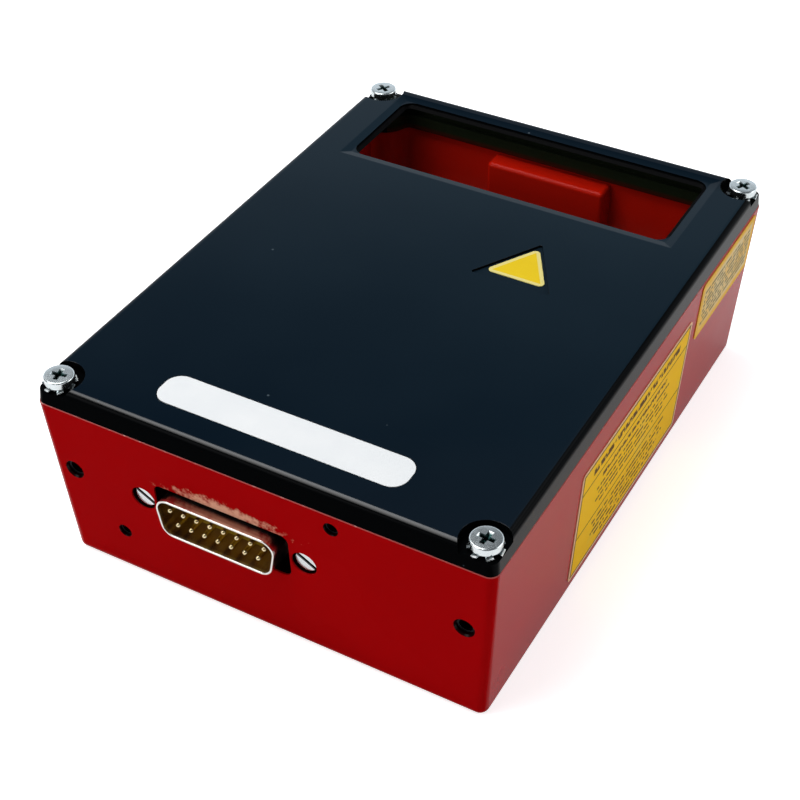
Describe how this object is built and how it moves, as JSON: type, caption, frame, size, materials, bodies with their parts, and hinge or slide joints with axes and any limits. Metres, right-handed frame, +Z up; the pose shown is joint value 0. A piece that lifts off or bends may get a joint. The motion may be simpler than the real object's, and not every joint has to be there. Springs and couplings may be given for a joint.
{
  "type": "industrial barcode reader",
  "caption": "Fixed laser barcode reader: cast box with screwed cover, tinted scan window in the top, D-shaped plug and threaded fixing holes on the front.",
  "frame": {"origin": "centre of the base's underside, midway between the side walls and between the front and rear walls of the casting", "axes": "+X along the plug face to the right, +Y from the plug face towards the window, +Z up through the cover"},
  "size_m": [0.0901, 0.122, 0.0414],
  "materials": {
    "red_enamel_casting": "gloss",
    "black_enamel_casting": "satin",
    "tinted_glass": "polished",
    "black_rubber": "matte",
    "zinc_plated_steel": "bright",
    "white_plate": "satin",
    "yellow_foil": "satin",
    "tinned_steel": "bright",
    "dark_moulding": "matte",
    "gold_contact": "bright",
    "circuit_board": "satin",
    "amber_film": "satin",
    "aluminium": "satin",
    "front_mirror": "polished",
    "steel": "ground",
    "sintered_bronze": "matte",
    "core_steel": "satin",
    "enamelled_copper": "gloss",
    "brass": "turned",
    "clear_glass": "polished",
    "red_filter_glass": "polished"
  },
  "bodies": {
    "reader": {"housing": "red_enamel_casting", "cover": "black_enamel_casting", "window_glass": "tinted_glass", "cover_seal": "black_rubber", "window_bead": "black_rubber", "mirror_pads": "black_rubber", "cover_screws": "zinc_plated_steel", "cover_lock_washers": "zinc_plated_steel", "connector_screws": "zinc_plated_steel", "connector_nuts": "zinc_plated_steel", "main_board_screws": "zinc_plated_steel", "motor_screws": "zinc_plated_steel", "laser_clamp_screws": "zinc_plated_steel", "receiver_screws": "zinc_plated_steel", "name_plate": "white_plate", "triangle_label": "yellow_foil", "large_side_label": "yellow_foil", "small_side_label": "yellow_foil", "connector_shell": "tinned_steel", "connector_insulator": "dark_moulding", "board_header": "dark_moulding", "circuit_chips": "dark_moulding", "receiver_holder": "dark_moulding", "photodiode": "dark_moulding", "connector_pins": "gold_contact", "connector_board": "circuit_board", "main_board": "circuit_board", "laser_board": "circuit_board", "receiver_board": "circuit_board", "motor_ribbon": "amber_film", "capacitors": "aluminium", "crystal": "aluminium", "laser_clamp": "aluminium", "deflection_mirror": "front_mirror", "motor_plate": "steel", "thrust_disc": "steel", "laser_diode": "steel", "bearing_bush": "sintered_bronze", "stator_core": "core_steel", "stator_coils": "enamelled_copper", "laser_barrel": "brass", "collimating_lens": "clear_glass", "receiver_lens": "clear_glass", "optical_filter": "red_filter_glass"},
    "mirror_wheel": {"motor_shaft": "steel", "rotor_cup": "steel", "rotor_magnet": "core_steel", "polygon_mirror": "front_mirror", "mirror_spring": "steel", "retaining_clip": "steel"}
  },
  "joints": [
    {"name": "mirror_spin", "type": "hinge", "parent": "reader", "child": "mirror_wheel", "pos_m": [0, -0.00595, 0.015], "axis": [0, 0, 1], "continuous": true}
  ]
}
